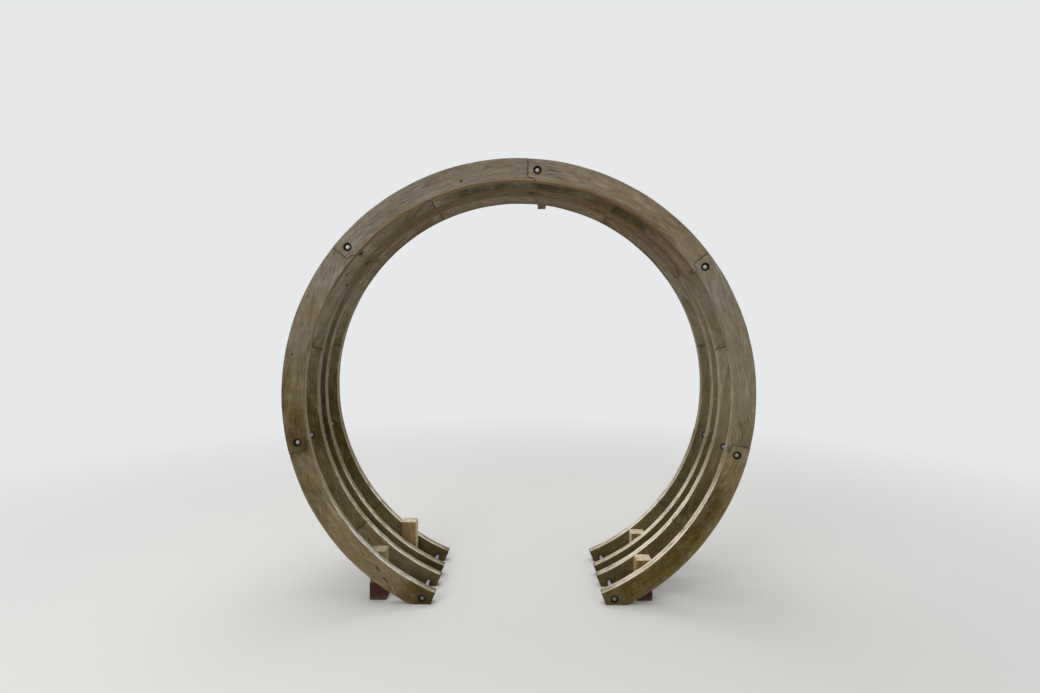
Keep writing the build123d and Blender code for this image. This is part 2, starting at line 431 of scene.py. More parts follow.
    # Splashes and damp near the ground
    splash = s.drawn(position, (26.0, 26.0, 12.0), 4.0, 0.6)
    damp = s.times(s.span(z, 0.01, 0.16, 0.8, 0.0), s.span(splash, 0.3, 0.6, 0.35, 1.0))
    body = s.mix(damp, body, DAMP)

    # Dirt along the seam of the layers, at the joints, in cracks and knots, and dirt with painted
    # shade in the recesses
    edge_on = s.span(s.math("ABSOLUTE", normal[1]), 0.35, 0.8, 1.0, 0.0)
    line = s.span(s.plus(seam, s.times(patches, 0.001)), 0.0003, 0.0014, 0.6, 0.0)
    line = s.times(line, s.span(x, -0.2, 0.3, 1.0, 0.12))
    body = s.mix(s.times(line, edge_on), body, SEAM_DIRT)
    wobble = s.swing(splash, 0.006)
    reach_in = s.span(s.plus(end, wobble), 0.0006, 0.0052, 0.62, 0.0)
    soft = s.times(s.span(end, 0.0, 0.03, 0.3, 0.0), s.span(splash, 0.4, 0.6))
    body = s.mix(s.math("MAXIMUM", reach_in, soft), body, end_dark)
    body = s.mix(s.times(split, 0.7), body, CRACK)
    body = s.mix(s.times(knot, 0.75), body, KNOT)
    for hole in marked:
        body = s.mix(s.times(hole, 0.78), body, HOLE)
    # Recess walls and floor darkened: dirt with painted shade
    body = s.mix(s.span(bolt_distance, 0.0184, 0.0196, 0.93, 0.0), body, RECESS_DIRT_AND_SHADE)
    body = s.mix(s.span(s.plus(bolt_distance, wobble), 0.019, 0.027, 0.4, 0.0), body, end_dark)

    # Each board has its own tone, which shows less on the upward faces
    mean = 1.02
    gain = s.node("VectorMath", operation="SCALE")
    s.link(body, gain.inputs[0])
    tone = s.minus(s.span(tone, 0.0, 1.0, 0.82, 1.14, smooth=False), mean)
    tone = s.times(tone, s.minus(1.0, s.times(upward, 0.7)))
    s.link(s.plus(tone, mean), gain.inputs["Scale"])
    body = gain.outputs[0]

    # Relief of the grain, flakes, cracks and knots
    relief = s.times(late, 0.3)
    relief = s.plus(relief, s.times(fibre, 0.5))
    relief = s.plus(relief, s.times(streak, 0.7))
    relief = s.plus(relief, s.times(flaking, upward, 0.5))
    relief = s.minus(relief, s.times(split, 1.2))
    relief = s.minus(relief, s.times(knot, 0.3))
    s.bump(relief, 0.0018, 0.8)
    roughness = s.span(streak, 0.3, 0.7, 0.78, 0.92)
    return s.finish(body, roughness, specular=0.08)


def galvanised(name, base, soot, low_dull=0.0):
    """Zinc-coated steel with faint spangle, dull patches and grime, duller near the ground."""
    s = Shader(name)
    position = s.node("NewGeometry").outputs["Position"]
    spangle = s.node("TexVoronoi", feature="F1")
    s.link(position, spangle.inputs["Vector"])
    spangle.inputs["Scale"].default_value = 240.0
    grain = s.separate(spangle.outputs["Color"])[0]
    patch = s.noise(position, 60.0, 4.0, 0.6)
    grime = s.noise(position, 24.0, 5.0, 0.7)
    colour = s.mix(s.span(grain, 0.0, 1.0, 0.0, 0.25), base, rgb(214, 216, 217))
    colour = s.mix(s.span(patch, 0.4, 0.7, 0.0, 0.4), colour, rgb(150, 149, 144))
    colour = s.mix(s.span(grime, 0.44, 0.7, 0.0, soot), colour, rgb(88, 74, 54))
    if low_dull:
        x, _, z = s.separate(position)
        # Darker towards the bottom, a little more on the left
        low_darkening = s.times(s.span(z, 0.1, 1.4, low_dull, 0.0), s.span(x, -0.3, 0.3, 1.0, 0.8))
        colour = s.mix(low_darkening, colour, rgb(92, 88, 72))
    s.bump(patch, 0.0004, 0.5)
    return s.finish(colour, s.span(patch, 0.3, 0.7, 0.36, 0.58), metallic=0.55, specular=0.5)


def rubber(name):
    """Dull black rubber with a brown bloom of dust."""
    s = Shader(name)
    position = s.node("NewGeometry").outputs["Position"]
    dust = s.noise(position, 60.0, 5.0, 0.65)
    colour = s.mix(s.span(dust, 0.42, 0.75, 0.0, 0.5), rgb(46, 35, 33), rgb(88, 68, 56))
    s.bump(dust, 0.0005, 0.5)
    return s.finish(colour, s.span(dust, 0.3, 0.7, 0.6, 0.85), specular=0.35)


def red_oxide(name):
    """Red-brown paint on the sockets, chipped to rust, with dust from the ground."""
    s = Shader(name)
    geometry = s.node("NewGeometry")
    position = geometry.outputs["Position"]
    z = s.separate(position)[2]
    cloud = s.noise(position, 26.0, 5.0, 0.6)
    chips = s.noise(position, 120.0, 4.0, 0.7)
    speck = s.noise(position, 420.0, 2.0, 0.6)
    colour = s.mix(s.span(cloud, 0.35, 0.7), rgb(54, 24, 21), rgb(74, 35, 29))
    colour = s.mix(s.span(speck, 0.4, 0.7, 0.0, 0.35), colour, rgb(36, 18, 16))
    chipped = s.times(s.span(chips, 0.58, 0.64), s.span(cloud, 0.45, 0.6))
    colour = s.mix(s.times(chipped, 0.8), colour, rgb(104, 56, 30))
    dust = s.times(s.span(z, 0.0, 0.035, 0.5, 0.0), s.span(chips, 0.35, 0.65, 0.1, 1.0))
    colour = s.mix(dust, colour, rgb(112, 96, 74))
    facing = s.separate(geometry.outputs["Normal"])
    tilt = s.math("MINIMUM", s.math("ABSOLUTE", facing[0]), s.math("ABSOLUTE", facing[1]))
    colour = s.mix(s.span(tilt, 0.15, 0.5, 0.0, 0.35), colour, rgb(98, 52, 48))
    height = s.minus(s.times(speck, 0.5), chipped)
    s.bump(height, 0.0006, 0.6)
    return s.finish(colour, s.span(chips, 0.3, 0.7, 0.5, 0.8), specular=0.2)


# Depth of the first ring's face, and of the last ring's front
FRONT_FACE = -0.2775
LAST_FACE = 0.2325
# Centre, slope in degrees, half length and half width of each mark
RING_MARKS = (
    ((-0.562, LAST_FACE, 0.1031), 0, 0.008, 0.008),
    ((-0.2595, FRONT_FACE, 1.9733), 12, 0.0078, 0.0078),
    ((0.158, FRONT_FACE, 2.047), -5, 0.024, 0.0014),
    ((0.174, FRONT_FACE, 2.016), -7, 0.034, 0.0016),
    ((0.152, FRONT_FACE, 2.0), -6, 0.026, 0.0013),
    ((0.186, FRONT_FACE, 1.986), -8, 0.03, 0.0015),
    ((-0.7584, FRONT_FACE, 0.1403), -44, 0.012, 0.004),
    ((-0.6614, FRONT_FACE, 0.1718), -48, 0.019, 0.0065),
    ((-0.6242, FRONT_FACE, 0.1192), -46, 0.021, 0.0055),
)
RING_TIMBER = timber(
    "ring_timber",
    tones=(
        rgb(151, 142, 126), rgb(142, 121, 85), rgb(92, 79, 58),
        rgb(212, 203, 185), rgb(134, 105, 70), rgb(120, 112, 70),
    ),
    end_dark=rgb(54, 46, 34),
    marks=RING_MARKS,
    swirls=(((-0.2155, FRONT_FACE, 2.018), 14, 0.03, 0.024),),
)
POST_TIMBER = timber(
    "post_timber",
    tones=(
        rgb(172, 150, 112), rgb(166, 133, 84), rgb(124, 94, 60),
        rgb(214, 196, 160), rgb(140, 104, 62), rgb(140, 118, 72),
    ),
    end_dark=rgb(88, 66, 42),
    side_bleach=0.9,
)
ZINC = galvanised("galvanised_tube", rgb(184, 187, 190), 0.35)
ROD_ZINC = galvanised("galvanised_thread", rgb(176, 177, 170), 0.3, low_dull=0.8)
NUT_ZINC = galvanised("galvanised_nut", rgb(178, 178, 168), 0.5, low_dull=0.8)
RUBBER = rubber("pad_rubber")
PAINT = red_oxide("socket_paint")


# ---- mesh helpers ----------------------------------------------------------------------


# Angles in degrees beyond which an edge is bevelled, and beyond which it is shaded sharp
BEVEL_ANGLE = 40
SHARP_ANGLE = 38


def ramp(value, zero, one):
    """0 at one value and 1 at another, straight between them and held beyond."""
    return min(1.0, max(0.0, (value - zero) / (one - zero)))


def everything(bm):
    """All points, edges and faces of a mesh."""
    return bm.verts[:] + bm.edges[:] + bm.faces[:]


def orient(bm):
    """Turn all faces of a mesh outwards."""
    bmesh.ops.recalc_face_normals(bm, faces=bm.faces)


def skin(bm, rows, capped=True):
    """Faces between closed rows of points, and over both ends."""
    for first, second in zip(rows, rows[1:]):
        for k in range(len(first)):
            n = (k + 1) % len(first)
            bm.faces.new([first[k], first[n], second[n], second[k]])
    if capped:
        bm.faces.new(list(reversed(rows[0])))
        bm.faces.new(rows[-1])


def soften(bm, width, segments, skip=None):
    """Round the sharp edges of a mesh, apart from those that a test skips."""
    limit = math.radians(BEVEL_ANGLE)
    sharp = [e for e in bm.edges if len(e.link_faces) == 2 and e.calc_face_angle(0.0) > limit]
    edges = [e for e in sharp if not (skip and skip(e))]
    bmesh.ops.bevel(
        bm, geom=edges, offset=width, offset_type="OFFSET", segments=segments,
        profile=0.6, affect="EDGES", clamp_overlap=True,
    )


def add_piece(name, bm, material, replaces=()):
    """Turn a mesh under construction into a finished piece on the root body."""
    mesh = bpy.data.meshes.new(name)
    bm.to_mesh(mesh)
    bm.free()
    for polygon in mesh.polygons:
        polygon.use_smooth = True
    mesh.set_sharp_from_angle(angle=math.radians(SHARP_ANGLE))
    mesh.materials.append(material)
    piece = bpy.data.objects.new(name, mesh)
    bpy.context.scene.collection.objects.link(piece)
    weighted = piece.modifiers.new("normals", "WEIGHTED_NORMAL")
    weighted.keep_sharp = True
    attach(piece, "root")
    if replaces:
        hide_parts(*replaces)
    return piece


def grain_layers(bm):
    """The per-point layers that the timber material reads."""
    return [bm.verts.layers.float_vector.new(name) for name in ("grain", "info", "weather_and_shade")]


def merge_into(target, source):
    """Add one mesh under construction to another."""
    scratch = bpy.data.meshes.new("scratch")
    source.to_mesh(scratch)
    source.free()
    target.from_mesh(scratch)
    bpy.data.meshes.remove(scratch)


def drill(bm, centres, radius, y_low, y_high):
    """Cut round recesses along Y into a closed mesh."""
    body = bpy.data.meshes.new("body")
    bm.to_mesh(body)
    bm.free()
    body_object = bpy.data.objects.new("body", body)
    bpy.context.scene.collection.objects.link(body_object)
    cutter_bm = bmesh.new()
    for x, z in centres:
        at = Matrix.Translation((x, (y_low + y_high) / 2, z)) @ Matrix.Rotation(math.pi / 2, 4, "X")
        bmesh.ops.create_cone(
            cutter_bm, cap_ends=True, segments=40, radius1=radius, radius2=radius,
            depth=y_high - y_low, matrix=at,
        )
    cutter = bpy.data.meshes.new("cutter")
    cutter_bm.to_mesh(cutter)
    cutter_bm.free()
    cutter_object = bpy.data.objects.new("cutter", cutter)
    bpy.context.scene.collection.objects.link(cutter_object)
    cut = body_object.modifiers.new("cut", "BOOLEAN")
    cut.operation = "DIFFERENCE"
    cut.solver = "EXACT"
    cut.object = cutter_object
    graph = bpy.context.evaluated_depsgraph_get()
    result = bpy.data.meshes.new_from_object(body_object.evaluated_get(graph))
    out = bmesh.new()
    out.from_mesh(result)
    for item in (body_object, cutter_object):
        bpy.data.objects.remove(item)
    for item in (body, cutter, result):
        bpy.data.meshes.remove(item)
    return out


# ---- ring boards -----------------------------------------------------------------------

# Algae of each ring, and painted shade with some damp darkening, overall and round the right foot
ALGAE = {1: 0.15, 2: 0.3, 3: 0.9, 4: 0.85}
SHADE = {1: 0.0, 2: 0.1, 3: 0.0, 4: 0.3}
RIGHT_SHADE = {1: 1.0, 2: 0.8, 3: 0.1, 4: 0.1}
BOLT_POINTS = [ring_point(BOLT_RADIUS, a) for a in BOLTS]
# Mesh of a board: degrees between its columns, and rows above the tongue's height
COLUMN = 0.62
ROWS = 7
ARRIS = 0.0022
SEAM_ARRIS = 0.0007
# How far a board's edges may lie from their circles, and wave along them
LIFT = 0.0009
WAVE = 0.0011
WAVE_PACE = 0.16
# Clearance between a tongue and its notch
TONGUE_PLAY = 0.0004
# Joint corners above this height stay sharp
FOOT_TOP = 0.12
# How far a recess's cutter stands out of the face
OVERCUT = 0.01
# Distances stored where no bolt or seam is near, and the least one to a block's end
NO_BOLT = 0.1
NO_SEAM = 0.05
BLOCK_END = 0.02
# Bow of the grain against the ring's curve, more in the first ring's boards near the crown
GRAIN_BOW = 0.25
CROWN_GRAIN_BOW = 0.8
CROWN_HALF = 35
# Corners of each side of a cell, as steps along, out and back, after the step to its neighbour
CELL_SIDES = (
    (None, ((0, 0, 0), (1, 0, 0), (1, 1, 0), (0, 1, 0))),
    (None, ((0, 1, 1), (1, 1, 1), (1, 0, 1), (0, 0, 1))),
    ((0, -1), ((0, 0, 1), (1, 0, 1), (1, 0, 0), (0, 0, 0))),
    ((0, 1), ((0, 1, 0), (1, 1, 0), (1, 1, 1), (0, 1, 1))),
    ((-1, 0), ((0, 0, 0), (0, 1, 0), (0, 1, 1), (0, 0, 1))),
    ((1, 0), ((1, 0, 1), (1, 1, 1), (1, 1, 0), (1, 0, 0))),
)


def stations(breaks, step):
    """Values from the first break to the last, each break kept, no further apart than a step."""
    out = [breaks[0]]
    for low, high in zip(breaks, breaks[1:]):
        count = max(1, math.ceil((high - low) / step))
        out += [low + (high - low) * k / count for k in range(1, count + 1)]
    return out


def left_tip(point):
    """1 at the left end of a ring, falling to 0 a little way up."""
    return ramp(point.x, -0.56, -0.44) * (point.x < 0 and point.z < 0.4)


def right_foot(point):
    """1 round the right foot of the gate, falling to 0 above and to the left."""
    return ramp(point.x, 0.2, 0.4) * ramp(point.z, 0.95, 0.45)


def weather_and_shade_at(ring, point, recessed):
    """Algae, distance to a recessed bolt, and painted shade with some damp darkening, of a ring at
    a point.
    """
    x, _, z = point
    to_bolt = NO_BOLT
    if recessed:
        to_bolt = min(math.hypot(x - p.x, z - p.z) for p in BOLT_POINTS)
    outer = ramp(math.hypot(x, z - CENTRE_Z) - OPENING_RADIUS, 0.045, 0.095)
    right = right_foot(point) * RIGHT_SHADE[ring] * (1.0 - 0.4 * outer)
    flank = ramp(z, 0.68, 0.78) if ring > 1 or recessed else 0.0
    left = ramp(x, -0.85, -0.95) * ramp(z, 1.55, 0.75) * (0.6 + 0.35 * flank)
    low_left = ramp(z, 0.42, 0.22) * (x < 0) * (ring == 3)
    algae = min(1.0, ALGAE[ring] + 0.2 * right) * (1.0 - 0.5 * low_left)
    # Painted shade on the right foot, the left flank and the crown of the second ring, and darker
    # timber at the left tips and low on the third ring
    damp_and_painted_shade = SHADE[ring] * max(0.3, ramp(x, 0.5, -0.5)) + right + left + 0.5 * low_left
    damp_and_painted_shade += (1.8 if ring == 1 else 0.5) * left_tip(point)
    if ring == 2:
        middle = ramp(x, -0.36, -0.24) * ramp(x, 0.75, 0.55)
        damp_and_painted_shade += (0.4 + 0.6 * middle) * ramp(z, 1.6, 1.8)
    return Vector((algae, to_bolt, min(1.0, damp_and_painted_shade)))


def joint_corner(edge):
    """Whether an edge runs through the thickness at a joint, above the foot."""
    low, high = (v.co for v in edge.verts)
    return abs(high.y - low.y) > 0.9 * (high - low).length and low.z > FOOT_TOP


def at_depth(edge, depth):
    """Whether an edge lies in the plane y = depth."""
    return all(abs(v.co.y - depth) < 1e-5 for v in edge.verts)


def board(start, end, y_front, y_back, tongued, recess, mating, ring, chance):
    """One curved board as a closed mesh with rounded arrises and its grain frame."""
    half_gap = math.degrees(JOINT_GAP / 2 / OPENING_RADIUS)
    tongue = math.degrees(TONGUE_LENGTH / OPENING_RADIUS)
    left_free = start <= -END_ANGLE
    right_free = end >= END_ANGLE
    left = start if left_free else start + half_gap
    right = end if right_free else end - half_gap
    heel = left + tongue if tongued and not left_free else left
    toe = right + tongue if tongued and not right_free else right
    breaks = sorted({left, heel, right, toe})
    columns = stations(breaks, COLUMN)
    step_radius = OPENING_RADIUS + TONGUE_DEPTH
    rows = [OPENING_RADIUS, step_radius]
    rows += [step_radius + (OUTER_RADIUS - step_radius) * k / ROWS for k in range(1, ROWS + 1)]

    last_i = len(columns) - 1
    last_j = len(rows) - 1

    def inside(i, j):
        if not (0 <= i < last_i and 0 <= j < last_j):
            return False
        middle = (columns[i] + columns[i + 1]) / 2
        if middle < heel:
            return j >= 1
        return j == 0 or middle <= right

    bm = bmesh.new()
    points = {}
    seed = chance.uniform(0, 100)
    lift = chance.uniform(-LIFT, LIFT)

    def point(i, j, k):
        key = (i, j, k)
        if key not in points:
            radius = rows[j]
            angle = columns[i]
            if j in (0, last_j):
                radius += lift + WAVE * noise.noise(Vector((seed, angle * WAVE_PACE, k * 3.0)))
            if j == 1 and tongued:
                radius += TONGUE_PLAY * ((angle < heel) - (angle > right))
            y = y_front if k == 0 else y_back
            points[key] = bm.verts.new(ring_point(radius, angle, y))
        return points[key]

    for i in range(last_i):
        for j in range(last_j):
            for step, corners in CELL_SIDES:
                if inside(i, j) and not (step and inside(i + step[0], j + step[1])):
                    bm.faces.new([point(i + a, j + b, k) for a, b, k in corners])
    orient(bm)

    if left_free or right_free:
        cut = bmesh.ops.bisect_plane(
            bm, geom=everything(bm), plane_co=(0, 0, 0), plane_no=(0, 0, 1), clear_inner=True
        )
        rim = [e for e in cut["geom_cut"] if isinstance(e, bmesh.types.BMEdge)]
        bmesh.ops.contextual_create(bm, geom=rim)
        orient(bm)
    if recess:
        centres = [ring_point(BOLT_RADIUS, a) for a in BOLTS if start < a < end]
        spots = [(p.x, p.z) for p in centres]
        face_y = y_front if recess == "front" else y_back
        inward = 1 if recess == "front" else -1
        floor_y, beyond = face_y + inward * RECESS_DEPTH, face_y - inward * OVERCUT
        bm = drill(bm, spots, RECESS_RADIUS, min(floor_y, beyond), max(floor_y, beyond))
    soften(bm, ARRIS, 2, skip=lambda e: joint_corner(e) or at_depth(e, mating))
    soften(bm, SEAM_ARRIS, 1, skip=lambda e: not at_depth(e, mating))

    grain, info, mark = grain_layers(bm)
    middle = math.radians((start + end) / 2)
    tangent = Vector((math.cos(middle), 0, -math.sin(middle)))
    radial = Vector((math.sin(middle), 0, math.cos(middle)))
    slide = chance.uniform(0, 60)
    pith_across = chance.choice((-1, 1)) * chance.uniform(0.06, 0.22)
    pith_through = chance.choice((-1, 1)) * chance.uniform(0.01, 0.09)
    tone = chance.random()
    # The board above the left side's joint is the darkest, partly painted shade
    if ring == 1 and recess and start == BOLTED_JOINTS[1]:
        tone = 0.0
    in_crown = ring == 1 and abs(start + end) / 2 < CROWN_HALF
    bow = (CROWN_GRAIN_BOW if in_crown else GRAIN_BOW) / (2 * BOLT_RADIUS)
    for v in bm.verts:
        offset = v.co - Vector((0, 0, CENTRE_Z))
        angle = math.degrees(math.atan2(offset.x, offset.z))
        radius = math.hypot(offset.x, offset.z)
        low_end = left if radius > step_radius else heel
        high_end = right if radius > step_radius else toe
        to_end = math.radians(min(angle - low_end, high_end - angle)) * radius
        if left < angle < heel or right < angle < toe:
            to_end = min(to_end, abs(radius - step_radius))
        to_end = max(0.0, to_end)
        v[grain] = Vector(
            (
                offset.dot(tangent) + slide,
                offset.dot(radial) + bow * offset.dot(tangent) ** 2 - BOLT_RADIUS - pith_across,
                v.co.y - y_front - pith_through,
            )
        )
        v[info] = Vector((tone, min(to_end, 0.2), mating - v.co.y))
        v[mark] = weather_and_shade_at(ring, v.co, recess)
    return bm


chance = random.Random(SEED)
for ring in (1, 2, 3, 4):
    for layer in ("front", "rear"):
        node = f"ring{ring}_{layer}_boards_"
        low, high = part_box(node + "a")
        y_front, y_back = low[1], high[1]
        bolted = (ring in (1, 3)) == (layer == "front")
        joints = BOLTED_JOINTS if bolted else STAGGERED_JOINTS
        recess = layer if (ring, layer) in ((1, "front"), (4, "rear")) else None
        mating = y_back if layer == "front" else y_front
        groups = {"a": bmesh.new(), "b": bmesh.new()}
        for number, (start, end) in enumerate(zip(joints, joints[1:])):
            made = board(start, end, y_front, y_back, bolted, recess, mating, ring, chance)
            merge_into(groups["ab"[number % 2]], made)
        for letter, bm in groups.items():
            name = f"ring{ring}_{layer}_timber_{letter}"
            add_piece(name, bm, RING_TIMBER, [node + letter])


# ---- crown block -----------------------------------------------------------------------


# How far the faces of a block wander
BLOCK_WOBBLE = 0.0006


def timber_block(low, high, cells, arris, along_axis, look, chance):
    """Sawn block between two corners, with rounded arrises and its grain frame."""
    bm = bmesh.new()
    bmesh.ops.create_cube(bm, size=1.0)
    size = Vector(high) - Vector(low)
    centre = (Vector(high) + Vector(low)) / 2
    for v in bm.verts:
        v.co = Vector(a * b for a, b in zip(v.co, size)) + centre
    for axis in range(3):
        for cut in range(1, cells[axis]):
            place = Vector(low)
            place[axis] += size[axis] * cut / cells[axis]
            normal = Vector((0, 0, 0))
            normal[axis] = 1
            bmesh.ops.bisect_plane(bm, geom=everything(bm), plane_co=place, plane_no=normal)
    seed = chance.uniform(0, 90)
    for v in bm.verts:
        v.co += BLOCK_WOBBLE * noise.noise_vector(v.co * 14 + Vector((seed, 0, 0)))
    soften(bm, arris, 2)
    grain, info, mark = grain_layers(bm)
    others = [axis for axis in range(3) if axis != along_axis]
    slide = chance.uniform(0, 60)
    pith = (chance.uniform(-0.02, 0.03), chance.uniform(0.01, 0.05))
    algae, tone, shade = look
    for v in bm.verts:
        offset = v.co - centre
        across, through = (offset[axis] - far for axis, far in zip(others, pith))
        v[grain] = Vector((offset[along_axis] + slide, across, through))
        to_end = size[along_axis] / 2 - abs(offset[along_axis])
        v[info] = Vector((tone, max(0.0, to_end) + BLOCK_END, NO_SEAM))
        v[mark] = Vector((algae, NO_BOLT, shade))
    return bm


low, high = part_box("crown_block")
block = timber_block(
    low, high, cells=(4, 4, 3), arris=0.0018, along_axis=0, look=(0.5, 0.4, 0.2), chance=chance
)
add_piece("crown_block_timber", block, RING_TIMBER, ["crown_block"])


# ---- posts -----------------------------------------------------------------------------

# Algae, tone and painted shade of each post
POST_LOOKS = {
    "front_left": (0.1, 0.05, 0.35),
    "front_right": (0.35, 0.2, 1.0),
    "rear_left": (0.05, 0.2, 0.2),
    "rear_right": (0.1, 0.3, 0.2),
}
for place, look in POST_LOOKS.items():
    low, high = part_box("post_" + place)
    post = timber_block(
        low, high, cells=(4, 4, 12), arris=0.0032, along_axis=2, look=look, chance=chance
    )
    add_piece(f"post_{place}_timber", post, POST_TIMBER, ["post_" + place])


# ---- sockets ---------------------------------------------------------------------------

BEAD_SPACING = 0.025
BEAD_WIDTH = 0.0085
BEAD_DEPTH = 0.0026
BEAD_MARGIN = 0.008
BEAD_FADE = 0.004
SOCKET_CORNER = 0.004
SOCKET_WALL = 0.0025
SOCKET_BASE = 0.003
RIM_HEIGHT = 0.0012
RIM_INSET = 0.0008
SIDE_STEPS = 48
CORNER_STEPS = 5
OUTER_LEVELS = 16
INNER_LEVELS = 8


def socket_outline(half, inset, level, height):
    """Points round a socket at one level, its beads pressed in."""
    to_rim = min(level, height - level)
    fade = ramp(to_rim, BEAD_MARGIN - BEAD_FADE, BEAD_MARGIN + BEAD_FADE)
    flat = half - SOCKET_CORNER
    side = [-flat + 2 * flat * k / SIDE_STEPS for k in range(SIDE_STEPS + 1)]
    out = []
    for turn in range(4):
        spin = Matrix.Rotation(turn * math.pi / 2, 2)
        for s in side:
            press = 0.0
            for middle in (-BEAD_SPACING / 2, BEAD_SPACING / 2):
                gap = abs(s - middle) / (BEAD_WIDTH / 2)
                if gap < 1:
                    press = BEAD_DEPTH * 0.5 * (1 + math.cos(math.pi * gap))
            out.append(spin @ Vector((s, -(half - inset) + press * fade)))
        for k in range(1, CORNER_STEPS):
            a = k / CORNER_STEPS * math.pi / 2
            reach = SOCKET_CORNER - inset
            corner = Vector((flat + reach * math.sin(a), -flat - reach * math.cos(a)))
            out.append(spin @ corner)
    return out


def socket(low, high):
    """Folded steel socket: outer skin, rim, inner skin and floor."""
    bm = bmesh.new()
    half = (high[0] - low[0]) / 2
    centre = Vector(((low[0] + high[0]) / 2, (low[1] + high[1]) / 2))
    height = high[2] - low[2]
    upright = [height * k / OUTER_LEVELS for k in range(1, OUTER_LEVELS)]
    outlines = []
    for level in (0.0, RIM_HEIGHT, *upright, height - RIM_HEIGHT, height):
        inset = RIM_INSET if level in (0.0, height) else 0.0
        outlines.append((socket_outline(half, inset, level, height), level))
    outlines.append((socket_outline(half, SOCKET_WALL - RIM_INSET, height, height), height))
    upright = [height * k / INNER_LEVELS for k in range(INNER_LEVELS - 1, 0, -1)]
    for level in (height - RIM_HEIGHT, *upright, SOCKET_BASE):
        outlines.append((socket_outline(half, SOCKET_WALL, level, height), level))
    rows = [
        [bm.verts.new((p.x + centre.x, p.y + centre.y, low[2] + level)) for p in outline]
        for outline, level in outlines
    ]
    skin(bm, rows)
    orient(bm)
    return bm


for place in ("front_left", "front_right", "rear_left", "rear_right"):
    low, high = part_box("socket_" + place)
    steel = socket(low, high)
    add_piece(f"socket_{place}_steel", steel, PAINT, ["socket_" + place])


# ---- bolt fittings ---------------------------------------------------------------------


def round_point(bm, centre, radius, a, y):
    """New point at a radius and an angle about a line along Y."""
    return bm.verts.new((centre.x + radius * math.sin(a), y, centre.z + radius * math.cos(a)))


def lathe(bm, centre, profile, segments, outline=None):
    """Closed ring of revolution about a line along Y, from (radius, y) points."""
    rings = []
    for radius, y in profile:
        made = []
        for k in range(segments):
            a = 2 * math.pi * k / segments
            r, depth = outline(radius, y, a) if outline else (radius, y)
            made.append(round_point(bm, centre, r, a, depth))
        rings.append(made)
    skin(bm, rings + rings[:1], capped=False)


def nut(bm, centre, y_seat, y_face, bore, turn):
    """Hexagon nut whose outer corners are chamfered; y_face is the end that shows."""
    flat = NUT_FLATS / 2
    sign = 1 if y_face > y_seat else -1
    lead = 0.0006
    face_edge = flat * 0.97

    def hexagon(radius, y, a):
        if radius <= bore + lead:
            return radius, y
        local = (math.degrees(a) + turn) % 60 - 30
        reach = flat / math.cos(math.radians(local))
        if radius < flat:
            return radius, y
        slope = (reach - face_edge) * 0.55
        return reach, y - sign * slope if y == y_face else y

    profile = [
        (bore, y_seat), (flat, y_seat), (flat, y_face), (face_edge - 1e-6, y_face),
        (bore + lead, y_face), (bore, y_face - sign * lead),
    ]
    lathe(bm, centre, profile, segments=48, outline=hexagon)


def washer(bm, centre, y_low, y_high, outer, inner, r, bulge=0.0):
    """Flat washer, pad or tube whose outer rims are rounded by r."""
    middle = (y_low + y_high) / 2
    profile = [
        (inner, y_low), (outer - r, y_low), (outer - r * 0.3, y_low + r * 0.3), (outer, y_low + r),
        (outer + bulge, middle), (outer, y_high - r), (outer - r * 0.3, y_high - r * 0.3),
        (outer - r, y_high), (inner, y_high),
    ]
    lathe(bm, centre, profile, segments=40)


def threaded_rod(bm, centre, y_low, y_high):
    """Rod with a helical thread at each end and a plain middle that the tubes hide."""
    segments = 24
    pitch = 0.0015
    cut = 0.0009
    threaded = 0.0135
    tip = 0.0008
    steepness = 2.6
    steps = [pitch / 4 * k for k in range(int(threaded / (pitch / 4)) + 1)]
    levels = [y_low + s for s in steps] + [y_high - s for s in reversed(steps)]
    rows = []
    for y in levels:
        row = []
        for k in range(segments):
            turn = k / segments
            phase = ((y - y_low) / pitch + turn) % 1.0
            depth = cut * min(1.0, steepness * abs(phase - 0.5))
            from_end = min(y - y_low, y_high - y)
            depth += max(0.0, tip - from_end)
            row.append(round_point(bm, centre, ROD_RADIUS - depth, 2 * math.pi * turn, y))
        rows.append(row)
    skin(bm, rows)
    orient(bm)


# The washer's thickness lifts the nut off the recess's floor
NUT_LIFT = 0.0025
WASHER_RADIUS = 0.0155
for side in ("front", "rear"):
    low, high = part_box("nuts_" + side)
    seat, face = (high[1], low[1]) if side == "front" else (low[1], high[1])
    inward = 1 if face > seat else -1
    nuts = bmesh.new()
    discs = bmesh.new()
    for centre in BOLT_POINTS:
        turn = chance.uniform(0, 60)
        nut(nuts, centre, seat + inward * NUT_LIFT, face, ROD_RADIUS - 0.0002, turn)
        ends = sorted((seat, seat + inward * NUT_LIFT))
        washer(discs, centre, *ends, WASHER_RADIUS, ROD_RADIUS + 0.0003, r=0.0007)
    orient(nuts)
    orient(discs)
    add_piece(f"hex_nuts_{side}", nuts, NUT_ZINC, ["nuts_" + side])
    add_piece(f"recess_washers_{side}", discs, RUBBER)

for number, centre in enumerate(BOLT_POINTS, start=1):
    low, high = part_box(f"tie_rod_{number}")
    rod = bmesh.new()
    threaded_rod(rod, centre, low[1], high[1])
    add_piece(f"threaded_rod_{number}", rod, ROD_ZINC, [f"tie_rod_{number}"])

